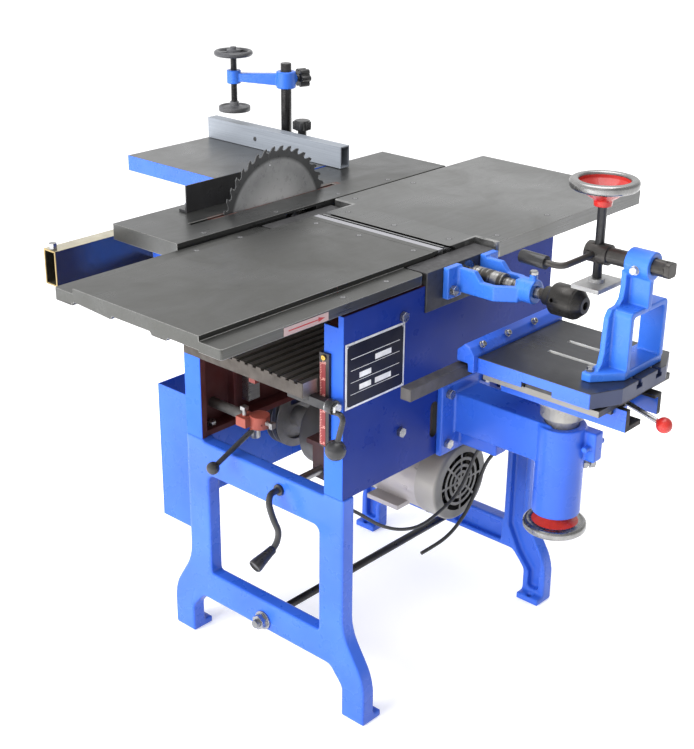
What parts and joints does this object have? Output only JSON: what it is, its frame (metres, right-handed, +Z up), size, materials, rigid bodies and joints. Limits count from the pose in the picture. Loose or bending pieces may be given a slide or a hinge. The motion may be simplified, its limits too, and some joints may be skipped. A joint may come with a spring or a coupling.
{
  "type": "combination woodworking machine",
  "caption": "Floor-standing combination woodworking machine: surface planer and thicknesser, table saw with sliding table, and slot mortiser on one cutter spindle.",
  "frame": {"origin": "on the floor, at the centre of the four foot holes", "axes": "+Z up; +X along the planing feed, from the crank end to the outfeed end; +Y from the mortiser side to the saw side"},
  "size_m": [1.189, 1.411, 1.052],
  "materials": {
    "blue_paint": "gloss",
    "machined_iron": "ground",
    "dark_iron": "as cast, oiled",
    "steel": "bright turned",
    "black_steel": "satin black",
    "zinc": "zinc plated",
    "alu": "satin",
    "black_plastic": "moulded",
    "red_lever": "satin",
    "wheel_chrome": "polished rim",
    "motor_grey": "satin",
    "fan_cover_grey": "satin",
    "belt_rubber": "matt",
    "cable_rubber": "satin"
  },
  "bodies": {
    "frame": {"leg_frame_front": "blue_paint", "leg_frame_rear": "blue_paint", "tie_rod": "steel", "side_plate_right": "blue_paint", "side_plate_left": "blue_paint", "guide_bars": "steel", "lift_bridge": "blue_paint", "motor_plate": "blue_paint", "belt_guard": "blue_paint", "frame_bolts": "steel", "bearing_blocks": "dark_iron", "spindle_bearings": "steel", "drill_yoke": "blue_paint", "outfeed_table": "machined_iron", "saw_table": "machined_iron", "slide_rail": "zinc", "thickness_scale": "black_steel", "motor_housing": "motor_grey", "motor_fan_cover": "fan_cover_grey", "v_belts": "belt_rubber", "mortise_arm": "blue_paint", "supply_cable": "cable_rubber", "motor_lead": "cable_rubber"},
    "spindle": {"cutter_spindle": "steel", "cutter_block": "steel", "cutter_knives": "steel", "saw_blade": "steel", "blade_flanges": "steel", "drill_chuck": "black_steel"},
    "rotor": {"motor_rotor": "steel"},
    "infeed": {"infeed_table": "machined_iron", "infeed_lip": "steel"},
    "thickness": {"thickness_table": "machined_iron"},
    "lift": {"lift_screw": "steel"},
    "hand_crank": {"crank": "black_steel"},
    "lock": {"lock_lever": "black_steel"},
    "feed": {"feed_lever": "red_lever"},
    "roller_in": {"feed_roller_in": "steel"},
    "roller_out": {"feed_roller_out": "steel"},
    "rip": {"rip_plate": "black_steel"},
    "slider": {"sliding_table": "machined_iron"},
    "fence": {"mitre_fence": "alu"},
    "fence_lock": {"fence_knob": "black_plastic"},
    "post": {"hold_post": "black_steel"},
    "arm": {"hold_arm": "blue_paint"},
    "arm_lock": {"star_knob": "black_plastic"},
    "pad": {"hold_pad": "black_steel"},
    "hold_spindle": {"hold_screw": "black_steel"},
    "column": {"mortise_column": "steel", "mortise_base": "blue_paint"},
    "lift_wheel": {"lift_handwheel": "wheel_chrome"},
    "saddle": {"mortise_saddle": "blue_paint"},
    "plunge": {"plunge_lever": "red_lever"},
    "mortise": {"mortise_table": "machined_iron", "mortise_fence": "blue_paint", "clamp_bracket": "blue_paint"},
    "stop": {"stop_bar": "steel"},
    "clamp": {"clamp_bar": "black_steel"},
    "foot": {"clamp_foot": "steel"},
    "clamp_spindle": {"clamp_screw": "wheel_chrome"}
  },
  "joints": [
    {"name": "spindle_spin", "type": "hinge", "parent": "frame", "child": "spindle", "pos_m": [0.027, 0, 0.788], "axis": [0, 1, 0], "continuous": true},
    {"name": "rotor_spin", "type": "hinge", "parent": "frame", "child": "rotor", "pos_m": [0.027, 0, 0.368], "axis": [0, 1, 0], "continuous": true},
    {"name": "infeed_rise", "type": "slide", "parent": "frame", "child": "infeed", "axis": [-0.9659, 0, -0.2588], "range_m": [-0.0018, 0.012]},
    {"name": "thickness_lift", "type": "slide", "parent": "frame", "child": "thickness", "axis": [0, 0, 1], "range_m": [-0.02, 0.07]},
    {"name": "lift_turn", "type": "hinge", "parent": "frame", "child": "lift", "pos_m": [-0.15, -0.048, 0.46], "axis": [0, 0, 1], "range_deg": [-5045, 1445]},
    {"name": "crank_turn", "type": "hinge", "parent": "frame", "child": "hand_crank", "pos_m": [-0.24, -0.048, 0.418], "axis": [1, 0, 0], "range_deg": [-5045, 1445]},
    {"name": "lock_turn", "type": "hinge", "parent": "thickness", "child": "lock", "pos_m": [-0.322, -0.196, 0.636], "axis": [0, 1, 0], "range_deg": [-5, 100]},
    {"name": "feed_turn", "type": "hinge", "parent": "frame", "child": "feed", "pos_m": [-0.245, 0.1, 0.5], "axis": [0, 1, 0], "range_deg": [-4, 30]},
    {"name": "roller_in_spin", "type": "hinge", "parent": "frame", "child": "roller_in", "pos_m": [-0.035, 0, 0.766], "axis": [0, 1, 0], "continuous": true},
    {"name": "roller_out_spin", "type": "hinge", "parent": "frame", "child": "roller_out", "pos_m": [0.089, 0, 0.766], "axis": [0, 1, 0], "continuous": true},
    {"name": "rip_slide", "type": "slide", "parent": "frame", "child": "rip", "axis": [0, 1, 0], "range_m": [-0.03, 0]},
    {"name": "table_slide", "type": "slide", "parent": "frame", "child": "slider", "axis": [1, 0, 0], "range_m": [-0.39, 0.12]},
    {"name": "fence_swing", "type": "hinge", "parent": "slider", "child": "fence", "pos_m": [0.348, 0.612, 0.833], "axis": [0, 0, 1], "range_deg": [-30, 30]},
    {"name": "fence_lock_turn", "type": "hinge", "parent": "fence", "child": "fence_lock", "pos_m": [0.348, 0.52, 0.86], "axis": [0, 0, 1], "range_deg": [-170, 170]},
    {"name": "post_swivel", "type": "hinge", "parent": "fence", "child": "post", "pos_m": [0.348, 0.57, 0.93], "axis": [0, 0, 1], "range_deg": [-170, 170]},
    {"name": "arm_slide", "type": "slide", "parent": "post", "child": "arm", "axis": [0, 0, 1], "range_m": [-0.012, 0.015]},
    {"name": "arm_lock_turn", "type": "hinge", "parent": "arm", "child": "arm_lock", "pos_m": [0.39075, 0.55596, 0.985], "axis": [0.9501, -0.312, 0], "range_deg": [-170, 170]},
    {"name": "pad_slide", "type": "slide", "parent": "arm", "child": "pad", "axis": [0, 0, 1], "range_m": [-0.015, 0.012]},
    {"name": "hold_turn", "type": "hinge", "parent": "pad", "child": "hold_spindle", "pos_m": [0.287, 0.676, 0.98], "axis": [0, 0, 1], "range_deg": [-1805, 1445]},
    {"name": "column_lift", "type": "slide", "parent": "frame", "child": "column", "axis": [0, 0, 1], "range_m": [-0.005, 0.036]},
    {"name": "column_wheel_turn", "type": "hinge", "parent": "frame", "child": "lift_wheel", "pos_m": [0.027, -0.427, 0.4], "axis": [0, 0, 1], "range_deg": [-3245, 455]},
    {"name": "saddle_slide", "type": "slide", "parent": "column", "child": "saddle", "axis": [0, 1, 0], "range_m": [0, 0.055]},
    {"name": "plunge_turn", "type": "hinge", "parent": "column", "child": "plunge", "pos_m": [0.044, -0.505, 0.64], "axis": [1, 0, 0], "range_deg": [-12, 1]},
    {"name": "mortise_slide", "type": "slide", "parent": "saddle", "child": "mortise", "axis": [1, 0, 0], "range_m": [-0.06, 0.06]},
    {"name": "stop_slide", "type": "slide", "parent": "mortise", "child": "stop", "axis": [1, 0, 0], "range_m": [-0.02, 0.06]},
    {"name": "clamp_slide", "type": "slide", "parent": "mortise", "child": "clamp", "axis": [0, 1, 0], "range_m": [-0.02, 0.012]},
    {"name": "foot_slide", "type": "slide", "parent": "clamp", "child": "foot", "axis": [0, 0, 1], "range_m": [0, 0.024]},
    {"name": "clamp_turn", "type": "hinge", "parent": "foot", "child": "clamp_spindle", "pos_m": [0.041, -0.464, 0.9], "axis": [0, 0, 1], "range_deg": [-5, 2165]}
  ],
  "couplings": [
    {"joint": "rotor_spin", "follows": "spindle_spin", "ratio": 0.41548},
    {"joint": "lift_turn", "follows": "thickness_lift", "rad_per_m": -1256.6},
    {"joint": "crank_turn", "follows": "thickness_lift", "rad_per_m": -1256.6},
    {"joint": "hold_turn", "follows": "pad_slide", "rad_per_m": 2094.4},
    {"joint": "column_wheel_turn", "follows": "column_lift", "rad_per_m": -1570.8},
    {"joint": "plunge_turn", "follows": "saddle_slide", "rad_per_m": -3.5},
    {"joint": "clamp_turn", "follows": "foot_slide", "rad_per_m": 1570.8}
  ]
}
